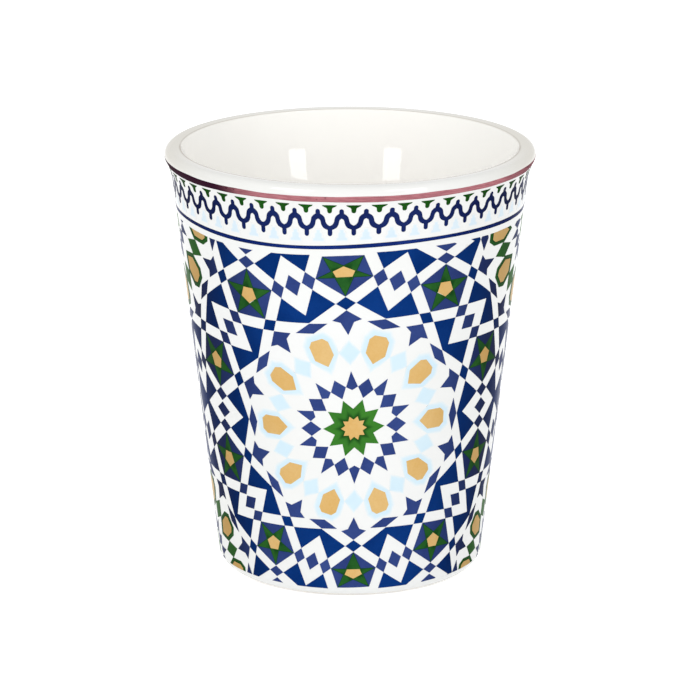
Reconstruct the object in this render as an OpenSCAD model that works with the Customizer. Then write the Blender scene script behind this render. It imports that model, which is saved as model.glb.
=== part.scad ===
// Handleless espresso cup with a rolled lip, a bare foot ring and fired enamel decoration.
// The wall is one straight taper. The decoration is a lustre line under the lip, a zigzag
// border with a fine rule, and a ten-fold star tiling that wraps the wall in two repeats.
// Each enamel colour is a thin layer of its own that lies on the glaze.
// Millimetres, +Z up, origin at the centre of the foot, the photographed side towards -Y.

/* [Cup] */
// Outside diameter at the lip
rim_d = 60; // [54:1:68]
// Height from the table to the top of the lip
height = 70; // [66:1:80]
// Lean of the outside wall from upright, in degrees
wall_lean = 6.36; // [4:0.1:8]
// Lean of the inside wall just under the lip, in degrees
mouth_lean = 14; // [10:0.5:16]
// Depth of the straight mouth under the lip
mouth_h = 11; // [8:0.5:13]
// Radius of the curve from the mouth into the inside wall
mouth_r = 60; // [40:5:80]
// Lean of the inside wall below the mouth, in degrees
inside_lean = 6.4; // [5.4:0.1:8]
// Radius of the rolled lip in section
lip_r = 1.2; // [1:0.05:1.4]
// Radius of the hollow curve that flares the wall out to the lip
flare_r = 10.6; // [8:0.2:13]
// Lean of the wall where the flare meets the lip, in degrees
flare_lean = 28; // [20:1:34]
// Thickness of the floor
floor_t = 4.2; // [3:0.1:6]
// Radius of the corner between the inside wall and the floor
floor_corner_r = 7; // [3:0.5:10]

/* [Foot] */
// Radius of the outside corner at the base
base_corner_r = 2.0; // [1.2:0.1:2.6]
// Inside radius of the foot ring
foot_inside_r = 16; // [12:0.5:17]
// Depth of the hollow under the floor
foot_hollow = 0.9; // [0.5:0.1:1.4]
// Height above the table where the glaze stops and the clay is bare
bare_h = 0.5; // [0.3:0.05:0.8]

/* [Glaze and enamel] */
// Thickness of the glaze
glaze_t = 0.25; // [0.15:0.05:0.4]
// Thickness of a fired enamel colour
enamel_t = 0.06; // [0.04:0.01:0.12]
// Thickness of the lustre line
lustre_t = 0.04; // [0.03:0.01:0.08]

/* [Lustre line] */
// Distance from the top of the lip to the middle of the line
lustre_drop = 1.95; // [1.7:0.05:2.3]
// Height of the line
lustre_h = 0.95; // [0.4:0.05:1]

/* [Border] */
// Number of zigzags round the cup
zigzags = 49; // [44:1:52]
// Turn of the border from the front, in degrees
border_turn = 1.1; // [-3.6:0.1:3.6]
// Distance from the top of the lip to the top of the green drops
drop_top = 2.9; // [2.8:0.05:3.2]
// Height of a green drop
drop_h = 1.3; // [1:0.05:1.6]
// Width of a green drop at its top
drop_w = 2.15; // [1.6:0.05:2.4]
// Distance from the top of the lip to the middle of the zigzag
zigzag_drop = 5.45; // [5.3:0.05:5.6]
// Height of the zigzag from valley to peak, on the middle of the ribbon
zigzag_h = 1.95; // [1.6:0.05:2.1]
// Width of the ribbon
ribbon_w = 0.62; // [0.45:0.01:0.7]
// Length of the stem above each peak
peak_stem = 0.9; // [0.6:0.05:1]
// Length of the stem below each valley
valley_stem = 1.3; // [0.9:0.05:1.5]
// Height of a pale tree between the lower stems
tree_h = 1.9; // [1.4:0.05:2.1]
// Width of a pale tree at its base
tree_w = 1.7; // [1.2:0.05:1.9]
// Distance from the top of the lip to the base of the pale trees
tree_drop = 8.7; // [8.5:0.05:9]
// Distance from the top of the lip to the middle of the fine rule
rule_drop = 9.75; // [9.55:0.05:9.95]
// Height of the fine rule
rule_h = 0.6; // [0.4:0.05:0.7]

/* [Star field] */
// Star rosettes round the middle of the wall
repeats = 2; // [2:1:3]
// Distance from the top of the lip to the top of the field
field_drop = 11.05; // [10.7:0.05:12]
// Height of the white band under the field
field_bottom = 1.75; // [1.7:0.05:3]
// Turn of the front rosette from the front, in degrees
field_turn = 0.65; // [-5:0.05:5]
// Width of the white straps, as a share of the rosette tile
strap_share = 0.072; // [0.06:0.002:0.076]
// Distance of the strap from the rosette centre, as a share of the rosette tile
strap_place_share = 0.672; // [0.668:0.001:0.68]
// Reach of the ochre star in the middle, as a share of the rosette tile
heart_share = 0.084; // [0.07:0.001:0.095]
// Reach of the green star round it, as a share of the rosette tile
leaf_share = 0.199; // [0.18:0.001:0.204]
// Inner reach of the violet lozenges round the green star, as a share of the rosette tile
lozenge_in_share = 0.211; // [0.207:0.001:0.225]
// Outer reach of those lozenges
lozenge_out_share = 0.345; // [0.335:0.001:0.352]
// Inner reach of the violet kites between the lozenges, as a share of the rosette tile
kite_in_share = 0.258; // [0.25:0.001:0.268]
// Outer reach of the kites
kite_out_share = 0.383; // [0.37:0.001:0.39]
// Inner reach of the ochre petals, as a share of the rosette tile
petal_in_share = 0.441; // [0.43:0.001:0.45]
// Outer reach of the petals
petal_out_share = 0.626; // [0.61:0.001:0.634]
// Half width of a petal, as a share of the rosette tile
petal_half_share = 0.064; // [0.055:0.0005:0.067]
// Inner reach of the lozenges between the petals, as a share of the rosette tile
gem_in_share = 0.410; // [0.4:0.001:0.42]
// Outer reach of the lozenges between the petals
gem_out_share = 0.606; // [0.59:0.001:0.61]
// Reach of the inner tip of the violet stars between the petals, as a share of the rosette tile
arrow_in_share = 0.624; // [0.618:0.001:0.632]
// Width of the outline round a petal, as a share of the rosette tile
halo_share = 0.020; // [0.014:0.001:0.022]

/* [Hidden] */
$fn = 96;

clay = [0.93, 0.91, 0.87];
white = [0.96, 0.955, 0.94];
plum = [0.56, 0.33, 0.38];
navy = [0.09, 0.13, 0.42];
leaf_green = [0.13, 0.38, 0.12];
cobalt = [0.06, 0.22, 0.5];
violet = [0.23, 0.28, 0.55];
ochre = [0.9, 0.72, 0.44];
sky = [0.8, 0.93, 1];

// The lip's section is a circle, the flare runs tangent into it and into the wall.
lip_z = height - lip_r;
flare_end_z = lip_z - lip_r * sin(flare_lean);
flare_start_z = flare_end_z - flare_r * (sin(flare_lean) - sin(wall_lean));
lip_x = rim_d / 2 - lip_r;
flare_start_r = lip_x + lip_r * cos(flare_lean) - flare_r * (cos(wall_lean) - cos(flare_lean));
base_r = flare_start_r - flare_start_z * tan(wall_lean);
flare_x = flare_start_r + flare_r * cos(wall_lean);
flare_z = flare_start_z - flare_r * sin(wall_lean);
base_x = base_r + base_corner_r * tan(wall_lean) - base_corner_r / cos(wall_lean);
bare_angle = -asin((base_corner_r - bare_h) / base_corner_r);
// Inside, a straight mouth runs off the lip and bends into the steeper wall.
mouth_x = lip_x - lip_r * cos(mouth_lean);
mouth_z = lip_z + lip_r * sin(mouth_lean);
bend_x = mouth_x - mouth_h * tan(mouth_lean) + mouth_r * cos(mouth_lean);
bend_z = mouth_z - mouth_h - mouth_r * sin(mouth_lean);
inside_r = bend_x - mouth_r * cos(inside_lean);
inside_z = bend_z + mouth_r * sin(inside_lean);
corner_z = floor_t + floor_corner_r;
corner_x = inside_r - (inside_z - corner_z) * tan(inside_lean) - floor_corner_r / cos(inside_lean);

// Radius of the glazed outside at a height above the base corner.
function wall_r(z) = base_r + z * tan(wall_lean);
function flare_at(z) = flare_x - sqrt(flare_r * flare_r - pow(z - flare_z, 2));
function lip_at(z) = lip_x + sqrt(lip_r * lip_r - pow(z - lip_z, 2));
function outside_r(z) = z < flare_start_z ? wall_r(z) : z < flare_end_z ? flare_at(z) : lip_at(z);

// A stretch of section: points with the outward normal of the glaze surface.
function swell(cx, cz, r, from, to, steps) =
    [for (i = [0:steps]) let (a = from + (to - from) * i / steps)
        [[cx + r * cos(a), cz + r * sin(a)], [cos(a), sin(a)]]];
function hollow(cx, cz, r, from, to, steps) =
    [for (i = [0:steps]) let (a = from + (to - from) * i / steps)
        [[cx - r * cos(a), cz - r * sin(a)], [cos(a), sin(a)]]];

foot_edge = swell(base_x, base_corner_r, base_corner_r, -90, bare_angle, 4);
glazed_section = concat(
    swell(base_x, base_corner_r, base_corner_r, bare_angle, -wall_lean, 5),
    hollow(flare_x, flare_z, flare_r, -wall_lean, -flare_lean, 9),
    swell(lip_x, lip_z, lip_r, -flare_lean, 180 - mouth_lean, 16),
    swell(bend_x, bend_z, mouth_r, 180 - mouth_lean, 180 - inside_lean, 6),
    hollow(corner_x, corner_z, floor_corner_r, 180 - inside_lean, 90, 8));

// The section's points, moved into the clay by a depth.
function moved(section, depth) = [for (s = section) s[0] - depth * s[1]];
function reversed(p) = [for (i = [len(p) - 1:-1:0]) p[i]];

// The clay, bare on the foot ring and inside the glaze everywhere else.
module body() color(clay) rotate_extrude()
    polygon(concat(
        [[0, foot_hollow + glaze_t], [foot_inside_r - foot_hollow, foot_hollow + glaze_t]],
        [[foot_inside_r, 0]],
        moved(foot_edge, 0),
        moved(glazed_section, glaze_t),
        [[0, floor_t - glaze_t]]));

// The glaze over the whole wall, the lip and the inside, with a disc under the floor.
module glaze() color(white) {
    rotate_extrude() polygon(concat(
        moved(glazed_section, 0),
        [[0, floor_t], [0, floor_t - glaze_t]],
        reversed(moved(glazed_section, glaze_t))));
    translate([0, 0, foot_hollow])
        cylinder(r = foot_inside_r - foot_hollow - 0.4, h = glaze_t);
}

// A thin ring on the glaze, with its heights from the lowest up.
module skin(heights, t) rotate_extrude()
    polygon(concat(
        [for (z = heights) [outside_r(z), z]],
        [for (i = [len(heights) - 1:-1:0]) [outside_r(heights[i]) + t, heights[i]]]));
// The wall needs one step up to the flare, and the flare needs a step each 0.8 mm or so.
function steps_between(z0, z1) =
    let (from = max(z0, flare_start_z))
    let (n = max(1, ceil((z1 - from) / 0.8)))
    concat(z0 < flare_start_z ? [z0] : [],
        z1 <= flare_start_z ? [z1] : [for (i = [0:n]) from + (z1 - from) * i / n]);

lustre_z = height - lustre_drop;
module lustre_line() color(plum)
    skin([for (i = [-2:2]) lustre_z + lustre_h * i / 4], lustre_t);

rule_z = height - rule_drop;
module border_rule() color(navy)
    skin([rule_z - rule_h / 2, rule_z + rule_h / 2], enamel_t);

// A prism through the wall at a turn from the front. The outline is in tangent and height.
module stand(turn, outline) rotate([0, 0, turn]) rotate([90, 0, 0])
    translate([0, 0, base_r * 0.6])
        linear_extrude(rim_d / 2)
            polygon(outline);

// Border shapes, with x across one zigzag and z up.
step_turn = 360 / zigzags;
step_w = 2 * PI * outside_r(height - zigzag_drop) / zigzags;
valley_z = height - zigzag_drop - zigzag_h / 2;
peak_z = valley_z + zigzag_h;
half_w = ribbon_w / 2;

function round_end(x, z, r, from, to) =
    [for (i = [0:3]) let (a = from + (to - from) * i / 3) [x + r * cos(a), z + r * sin(a)]];
function flip(p) = [for (i = [len(p) - 1:-1:0]) [-p[i].x, p[i].y]];

// Right half of the ribbon round one peak: out along the top, back along the underside.
ribbon_top = [
    [half_w, peak_z + 0.55 * half_w],
    [step_w / 4 + 0.8 * half_w, peak_z - 0.26 * zigzag_h + 0.45 * half_w],
    [step_w / 4 + 1.1 * half_w, valley_z + 0.3 * zigzag_h + 0.3 * half_w],
    [step_w / 2, valley_z + 0.75 * half_w]];
ribbon_under = [
    [step_w / 2 - half_w, valley_z - 0.55 * half_w],
    [step_w / 4 - 0.8 * half_w, valley_z + 0.26 * zigzag_h - 0.45 * half_w],
    [step_w / 4 - 1.1 * half_w, peak_z - 0.3 * zigzag_h - 0.3 * half_w],
    [0, peak_z - 0.75 * half_w]];
lower_stem = concat(
    [[step_w / 2, valley_z - valley_stem]],
    round_end(step_w / 2, valley_z - valley_stem + half_w, half_w, 262, 180));
ribbon_right = concat(
    round_end(0, peak_z + peak_stem - half_w, half_w, 90, 0),
    ribbon_top, lower_stem, ribbon_under);
ribbon_outline = concat(ribbon_right,
    [for (i = [len(ribbon_right) - 2:-1:1]) [-ribbon_right[i].x, ribbon_right[i].y]]);

module border_ribbon() color(navy) intersection() {
    skin(steps_between(valley_z - valley_stem - 0.2, peak_z + peak_stem + 0.2), enamel_t);
    union() for (i = [0:zigzags - 1]) stand(border_turn + (i + 0.5) * step_turn, ribbon_outline);
}

drop_top_z = height - drop_top;
drop_outline = concat(
    [[drop_w / 2, drop_top_z], [drop_w / 2 - 0.1, drop_top_z - 0.12 * drop_h]],
    [[half_w * 1.1, drop_top_z - 0.42 * drop_h]],
    round_end(0, drop_top_z - drop_h + half_w, half_w, 0, -90),
    [for (p = flip(round_end(0, drop_top_z - drop_h + half_w, half_w, 0, -75))) p],
    [[-half_w * 1.1, drop_top_z - 0.42 * drop_h]],
    [[-drop_w / 2 + 0.1, drop_top_z - 0.12 * drop_h], [-drop_w / 2, drop_top_z]]);

module border_drops() color(leaf_green) intersection() {
    skin(steps_between(drop_top_z - drop_h - 0.1, drop_top_z + 0.1), enamel_t);
    union() for (i = [0:zigzags - 1]) stand(border_turn + i * step_turn, drop_outline);
}

tree_z = height - tree_drop;
tree_right = [
    [tree_w / 2, tree_z], [tree_w / 2, tree_z + 0.3 * tree_h],
    [tree_w * 0.32, tree_z + 0.34 * tree_h], [tree_w * 0.3, tree_z + 0.64 * tree_h],
    [tree_w * 0.16, tree_z + 0.7 * tree_h], [tree_w * 0.14, tree_z + tree_h]];
tree_outline = concat(tree_right, flip(tree_right));

module border_trees() color(sky) intersection() {
    skin(steps_between(tree_z - 0.1, tree_z + tree_h + 0.1), enamel_t);
    union() for (i = [0:zigzags - 1]) stand(border_turn + (i + 0.5) * step_turn, tree_outline);
}

// The star field is drawn flat, x round the wall and y up it, then stood on the wall.
// Ten-sided rosette tiles share edges with their neighbours, with bow-tie tiles between.
field_top = height - field_drop;
field_mid = (field_top + field_bottom) / 2;
field_half = (field_top - field_bottom) / 2;
// Half the distance between neighbour rosettes: the rosette tile's size.
tile = field_half / (2 * sin(36) - strap_share / 2);
row_x = 2 * tile * cos(36);
row_y = 2 * tile * sin(36);
strap = strap_share * tile;
place = strap_place_share * tile;
place_far = row_y - place;
near_in = place - strap / 2;
near_out = place + strap / 2;
far_in = place_far - strap / 2;
far_out = place_far + strap / 2;
corner = tile / cos(18);
cell_r = (corner * cos(36) - place - strap / 2) / cos(36);

function polar(r, a) = [r * cos(a), r * sin(a)];
// Where two straight lines meet, each given by its normal's angle and its distance.
function meet(a, d, b, e) = [d * sin(b) - e * sin(a), e * cos(a) - d * cos(b)] / sin(b - a);
function middle(p) = [for (i = [0:len(p) - 1]) 1] * p / len(p);
function shrunk(p, share) = let (m = middle(p)) [for (q = p) m + (q - m) * share];
function turned(p, a, at) =
    [for (q = p) at + [q.x * cos(a) - q.y * sin(a), q.x * sin(a) + q.y * cos(a)]];
function mirrored(p) =
    concat(p, [for (i = [len(p) - 1:-1:0]) if (abs(p[i].y) > 0.001) [p[i].x, -p[i].y]]);
// Cuts a flat outline off at the field's edges.
function at_height(a, b, h) = a + (b - a) * (h - a.y) / (b.y - a.y);
function below(p, h) = [for (i = [0:len(p) - 1])
    let (a = p[i])
    let (b = p[(i + 1) % len(p)])
    each concat(
        a.y <= h ? [a] : [],
        (a.y - h) * (b.y - h) < 0 ? [at_height(a, b, h)] : [])];
function upended(p) = [for (q = p) [q.x, -q.y]];
function kept(p) = upended(below(upended(below(p, field_half)), field_half));

// Cells of a rosette tile. The key cells lie on +X, the star cells at 18 degrees.
dart = mirrored([[near_out / cos(18), 0], meet(-18, near_out, 54, near_in),
    meet(54, near_in, -54, far_in), [far_in / cos(54), 0]]);
key = shrunk([[far_out / cos(54), 0], meet(54, near_in, -54, far_out),
    [near_in / cos(54), 0], meet(54, far_out, -54, near_in)], 0.86);
key_knot = shrunk([meet(54, near_in, -54, far_in), meet(54, near_out, -54, far_in),
    meet(54, near_out, -54, far_out), meet(54, near_in, -54, far_out)], 0.97);
key_knot_2 = upended(key_knot);
sliver = shrunk([[near_in / cos(18), 0], meet(18, near_in, -18, near_out),
    [near_out / cos(18), 0], meet(18, near_out, -18, near_in)], 0.9);
star_knot = shrunk([polar(near_in / cos(36), 18), meet(54, near_in, -18, near_out),
    polar(near_out / cos(36), 18), meet(54, near_out, -18, near_in)], 0.95);
arrow_tip = meet(36, near_in, 0, near_out);
arrow = turned(mirrored([[near_in / cos(36), 0], arrow_tip,
    [near_out, arrow_tip.y * 0.36], [arrow_in_share * tile, 0]]), 18, [0, 0]);
heart = [for (i = [0:19]) polar(heart_share * tile * (i % 2 == 0 ? 1 : 0.7), 18 * i)];
leaf = [for (i = [0:19]) polar(leaf_share * tile * (i % 2 == 0 ? 1 : 0.66), 18 * i)];
lozenge = shrunk([[lozenge_in_share * tile, 0], [0.278 * tile, 0.051 * tile],
    [lozenge_out_share * tile, 0], [0.278 * tile, -0.051 * tile]], 0.96);
kite = turned(shrunk([[kite_in_share * tile, 0], [0.280 * tile, 0.0375 * tile],
    [kite_out_share * tile, 0], [0.280 * tile, -0.0375 * tile]], 0.96), 18, [0, 0]);
petal_in = petal_in_share * tile;
petal_out = petal_out_share * tile;
petal_half = petal_half_share * tile;
petal_chamfer = 0.03 * tile;
petal = mirrored([[petal_in, 0], [petal_in + petal_half, petal_half],
    [petal_out - petal_chamfer, petal_half], [petal_out, 0.58 * petal_half]]);
halo_w = halo_share * tile;
halo = mirrored([[petal_in - 1.4 * halo_w, 0],
    [petal_in + petal_half - 0.4 * halo_w, petal_half + halo_w],
    [petal_out - petal_chamfer + 0.4 * halo_w, petal_half + halo_w],
    [petal_out + halo_w, 0.58 * petal_half + 0.5 * halo_w]]);
gem_in = gem_in_share * tile;
gem_out = gem_out_share * tile;
gem_half = 0.066 * tile;
gem = turned([[gem_in, 0], [(gem_in + gem_out) / 2, gem_half],
    [gem_out, 0], [(gem_in + gem_out) / 2, -gem_half]], 18, [0, 0]);

// Pentagon cells sit on the tile's corners. At a bow-tie's waist they lose their outer edge.
pent_cell = [for (i = [0:4]) [corner, 0] + polar(cell_r, 180 + 72 * i)];
waist_x = row_y - strap / 2;
waist_y = meet(-72, far_in, 0, waist_x).y;
waist_cell = [pent_cell[0], pent_cell[1], [waist_x, waist_y], [waist_x, -waist_y], pent_cell[4]];
// Where two of the cell's diagonals cross, between its corners i and i + 1.
function cross_of(u, v) = u.x * v.y - u.y * v.x;
function crossing(p, i) =
    let (a = p[i])
    let (c = p[(i + 1) % 5])
    let (u = p[(i + 2) % 5] - a)
    let (v = p[(i + 4) % 5] - c)
    a + u * cross_of(c - a, v) / cross_of(u, v);
function star_of(p) = [for (i = [0:4]) each [p[i], crossing(p, i)]];
function eye_of(p) = shrunk([for (i = [0:4]) crossing(p, i)], 0.84);
function ground_of(p, i) = shrunk([p[i], p[(i + 1) % 5], crossing(p, i)], 0.93);

// Cobalt cells of a bow-tie, from the middle of its waist, with the right wing on +X.
wing_1 = meet(18, far_out, 126, near_out) - [0, row_y];
wing_2 = meet(18, near_out, 126, near_out) - [0, row_y];
wing_3 = meet(18, near_out, 126, far_out) - [0, row_y];
wing_4 = meet(126, far_out, 54, 2 * tile * cos(18) - near_out) - [0, row_y];
wing_5 = [row_x - near_out / cos(54), 0];
wing_0 = [(far_out - row_y * sin(18)) / cos(18), 0];
wing = mirrored([wing_0, wing_1, wing_2, wing_3, wing_4, wing_5]);
wing_low = [wing_0, wing_1, [wing_2.x, wing_2.y], [wing_2.x, 0]];
wing_high = [[wing_2.x + 0.02, 0], [wing_2.x + 0.02, wing_2.y], wing_3, wing_4, wing_5];
function swapped(p) = [for (q = p) [-q.x, q.y]];

// Stands a flat outline on the wall about its own middle.
turn_per_x = 180 / repeats / row_x;
function wall_z(y) = field_mid + y;
function on_wall(p, turn) =
    [for (q = p) [wall_r(wall_z(q.y)) * sin(q.x * turn_per_x - turn), wall_z(q.y)]];
module lay(p, gap = []) {
    q = kept(p);
    if (len(q) > 2 && max([for (v = q) v.y]) - min([for (v = q) v.y]) > 0.35) {
        turn = middle(q).x * turn_per_x;
        difference() {
            stand(field_turn + turn, on_wall(q, turn));
            if (len(gap) > 0) stand(field_turn + turn, on_wall(gap, turn));
        }
    }
}

// Rosettes on the middle of the wall stand whole, those on the field's edges are cut in half.
whole = [for (i = [0:repeats - 1]) [2 * row_x * i, 0]];
cut = [for (i = [0:repeats - 1], s = [-1, 1]) [2 * row_x * (i + 0.5), s * row_y]];
function inwards(at, a) = at.y == 0 || sin(a) * sign(at.y) < 0.02;
module key_cells(p)
    for (at = concat(whole, cut), i = [0:9])
        if (inwards(at, 36 * i)) lay(turned(p, 36 * i, at));
module star_cells(p)
    for (at = concat(whole, cut), i = [0:9])
        if (inwards(at, 36 * i + 18)) lay(turned(p, 36 * i, at));
// Keys between a whole and a cut rosette belong to the whole one.
function own_key(at, i) =
    at.y == 0 || (inwards(at, 36 * i) && (i % 5 == 0 || abs(cos(36 * i)) < 0.4));
module key_marks(p)
    for (at = concat(whole, cut), i = [0:9])
        if (own_key(at, i)) lay(turned(p, 36 * i, at));
cells = concat(
    [for (at = whole, i = [0:9]) turned(i == 2 || i == 7 ? waist_cell : pent_cell, 36 * i + 18, at)],
    [for (at = cut) turned(waist_cell, at.y > 0 ? 270 : 90, at)]);

module field() intersection() {
    skin([field_bottom, field_top], enamel_t);
    union() children();
}

module field_cobalt() color(cobalt) {
    field() key_cells(dart);
    field() star_cells(star_knot);
    for (p = [wing_low, wing_high]) field()
        for (at = whole, s = [-1, 1], q = [p, swapped(p)])
            lay(turned(s > 0 ? q : upended(q), 0, at + [0, s * row_y]));
    field()
        for (at = whole, p = [wing, swapped(wing)])
            lay(turned(p, 0, at + [row_x, 0]));
}

module field_violet() color(violet) field() {
    key_cells(sliver);
    key_cells(lozenge);
    star_cells(arrow);
    star_cells(kite);
    for (p = [key, key_knot, key_knot_2]) key_marks(p);
    for (p = cells, i = [0:4]) lay(ground_of(p, i));
}

module field_green() color(leaf_green) field() {
    for (at = concat(whole, cut)) lay(turned(leaf, 0, at), turned(heart, 0, at));
    for (p = cells) lay(star_of(p), eye_of(p));
    for (at = cut, i = [0:9]) {
        if (inwards(at, 36 * i)) lay(turned(halo, 36 * i, at), turned(petal, 36 * i, at));
        if (inwards(at, 36 * i + 18)) lay(turned(gem, 36 * i, at));
    }
}

module field_ochre() color(ochre) field() {
    for (at = concat(whole, cut)) lay(turned(heart, 0, at));
    key_cells(petal);
    for (p = cells) lay(eye_of(p));
}

module field_sky() color(sky) field()
    for (at = whole, i = [0:9]) {
        lay(turned(halo, 36 * i, at), turned(petal, 36 * i, at));
        lay(turned(gem, 36 * i, at));
    }

body();
glaze();
lustre_line();
border_drops();
border_ribbon();
border_trees();
border_rule();
field_cobalt();
field_violet();
field_green();
field_ochre();
field_sky();
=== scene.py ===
"""Looks of the handleless espresso cup: white glaze, fired colours, lustre line, bare foot."""

import math
import random

import bmesh
import bpy
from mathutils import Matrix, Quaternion, Vector


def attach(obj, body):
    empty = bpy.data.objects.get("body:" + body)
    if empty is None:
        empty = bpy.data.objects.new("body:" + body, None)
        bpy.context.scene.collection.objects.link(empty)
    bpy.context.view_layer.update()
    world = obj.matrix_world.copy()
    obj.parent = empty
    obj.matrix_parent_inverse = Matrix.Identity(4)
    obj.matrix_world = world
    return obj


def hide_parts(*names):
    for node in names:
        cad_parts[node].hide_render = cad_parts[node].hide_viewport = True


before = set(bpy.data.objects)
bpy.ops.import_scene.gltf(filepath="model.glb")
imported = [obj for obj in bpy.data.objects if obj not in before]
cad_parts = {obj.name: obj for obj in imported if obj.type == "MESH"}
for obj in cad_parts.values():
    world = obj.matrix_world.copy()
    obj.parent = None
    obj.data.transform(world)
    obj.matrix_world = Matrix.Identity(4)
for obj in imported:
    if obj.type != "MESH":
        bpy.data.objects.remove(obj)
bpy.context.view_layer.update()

# Sizes in millimetres and angles in degrees. The cup's are those of the part's source, but for
# the crown and the inner edge of the lip, which are finer here.
MM = 0.001
HEIGHT = 70.0
RIM_R = 30.0
WALL_LEAN = 6.36
LIP_R = 1.2
LIP_CROWN_R = 9.8
LIP_CROWN_SPAN = 8.0
LIP_EDGE_R = 0.26
FLARE_R = 10.6
FLARE_LEAN = 28.0
MOUTH_LEAN = 14.0
MOUTH_H = 11.0
MOUTH_R = 60.0
INSIDE_LEAN = 6.4
FLOOR_T = 4.2
FLOOR_CORNER_R = 7.0
BASE_CORNER_R = 2.0
FOOT_INSIDE_R = 16.0
FOOT_HOLLOW = 0.9
BARE_H = 0.5
GLAZE_T = 0.25
FOOT_ROUND = 0.25
UNDER_GAP = 0.4
ROUND_STEPS = 192

# The colours lie a little into the glaze, so that no gap shows under them
FILM_T = 0.04
SKY_FILM_T = 0.02
FILM_SINK = 0.004
LUSTRE_SINK = 0.02

# The decoration. The tops, and names that end in DROP, are distances from the top of the lip.
LUSTRE_DROP, LUSTRE_H = 1.95, 0.95
ZIGZAGS, BORDER_TURN = 49, 1.1
ZIGZAG_DROP, RIBBON_TOP, RIBBON_H, RIBBON_W = 5.625, 3.575, 4.35, 0.7
DROP_TOP, DROP_H, DROP_W = 2.9, 1.35, 2.25
TREE_H, TREE_W, TREE_DROP = 2.2, 2.1, 8.9
RULE_DROP, RULE_H = 9.75, 0.6
FIELD_DROP, FIELD_BOTTOM, FIELD_TURN = 11.05, 1.75, 0.65
STRAP_SHARE, STRAP_PLACE = 0.072, 0.672

# Sheets of colour are cut into columns of this turn, so that they can follow the wall
COLUMN_TURN = 2.5

# How the hand-laid colours stray from true at the front of the cup, fading out towards its back.
# Each number goes with a power of the sideways place and a power of the height in the field.
FIELD_STRAY_TURN = {
    (0, 0): 0.77, (0, 1): -1.95, (0, 2): -4.15, (0, 3): 0.17, (0, 4): 3.5, (0, 6): -1.2,
    (1, 0): 1.0, (1, 4): -0.94, (2, 1): -1.62, (2, 4): 1.25, (2, 5): 1.19, (3, 1): -0.54,
    (3, 4): -1.01, (4, 3): 1.43}
FIELD_STRAY_UP = {
    (0, 0): -0.71, (0, 1): -0.06, (0, 2): 0.58, (0, 5): -0.14, (1, 0): 1.36, (1, 1): 1.65,
    (1, 2): -0.36, (1, 3): -1.2, (2, 1): 2.53, (2, 3): -2.97, (2, 5): -1.82, (3, 0): -1.49,
    (3, 1): -1.44, (3, 3): 0.55, (4, 1): 0.16, (4, 3): 2.26}
FOOT_STRAY_UP = {(0, 0): -0.17}
RULE_STRAY_UP = {(0, 0): -0.11, (1, 0): 1.42, (2, 0): 0.05, (3, 0): -1.47, (4, 0): 0.83}
LUSTRE_STRAY_UP = {(0, 0): -0.08, (1, 0): 0.16, (2, 0): 0.31}

# The lustre's bead, from its lower edge up: share of its height, thickness
LUSTRE_BEAD = [
    (-0.5, 0.012), (-0.38, 0.03), (-0.2, 0.042), (0, 0.046), (0.2, 0.042), (0.38, 0.03), (0.5, 0.012)]
# The brush's unevenness: size of a wave, waves round the cup, where they start
LUSTRE_SWAY = [(0.035, 3, 0.6), (0.02, 11, 2), (0.012, 29, 0)]
LUSTRE_SWELL = [(0.07, 5, 1), (0.05, 17, 0)]
LUSTRE_LOAD_SWELL = 0.2
# Where the lustre lies thick, and left of the front a painted dark reflection: turn from the front,
# spread in radians, strength
LUSTRE_THICK_AND_REFLECTION = [(-63, 0.54, 1.15), (72, 0.5, 0.54), (118, 0.4, 0.8), (-150, 0.25, 0.7)]

random.seed(11)


def sin(a):
    return math.sin(math.radians(a))


def cos(a):
    return math.cos(math.radians(a))


def tan(a):
    return math.tan(math.radians(a))


def stray(table, turn, height=0.0):
    """How far a colour strays at a turn from the front and a height in the field."""
    side = sin(turn)
    front = 0.5 + 0.5 * cos(turn)
    return front * sum(k * side ** a * height ** b for (a, b), k in table.items())


# The cup's section, as the part's source draws it but for the top and inner edge of the lip
lip_z = HEIGHT - LIP_R
lip_x = RIM_R - LIP_R
flare_end_z = lip_z - LIP_R * sin(FLARE_LEAN)
flare_start_z = flare_end_z - FLARE_R * (sin(FLARE_LEAN) - sin(WALL_LEAN))
flare_start_r = lip_x + LIP_R * cos(FLARE_LEAN) - FLARE_R * (cos(WALL_LEAN) - cos(FLARE_LEAN))
base_r = flare_start_r - flare_start_z * tan(WALL_LEAN)
flare_x = flare_start_r + FLARE_R * cos(WALL_LEAN)
flare_z = flare_start_z - FLARE_R * sin(WALL_LEAN)
base_x = base_r + BASE_CORNER_R * tan(WALL_LEAN) - BASE_CORNER_R / cos(WALL_LEAN)
bare_angle = -math.degrees(math.asin((BASE_CORNER_R - BARE_H) / BASE_CORNER_R))
crown_end_x = lip_x - LIP_CROWN_R * sin(LIP_CROWN_SPAN)
crown_end_z = HEIGHT - LIP_CROWN_R * (1 - cos(LIP_CROWN_SPAN))
edge_x = crown_end_x + LIP_EDGE_R * sin(LIP_CROWN_SPAN)
edge_z = crown_end_z - LIP_EDGE_R * cos(LIP_CROWN_SPAN)
mouth_x = edge_x - LIP_EDGE_R * cos(MOUTH_LEAN)
mouth_z = edge_z + LIP_EDGE_R * sin(MOUTH_LEAN)
bend_x = mouth_x - MOUTH_H * tan(MOUTH_LEAN) + MOUTH_R * cos(MOUTH_LEAN)
bend_z = mouth_z - MOUTH_H - MOUTH_R * sin(MOUTH_LEAN)
inside_r = bend_x - MOUTH_R * cos(INSIDE_LEAN)
inside_z = bend_z + MOUTH_R * sin(INSIDE_LEAN)
corner_z = FLOOR_T + FLOOR_CORNER_R
corner_x = inside_r - (inside_z - corner_z) * tan(INSIDE_LEAN) - FLOOR_CORNER_R / cos(INSIDE_LEAN)


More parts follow.
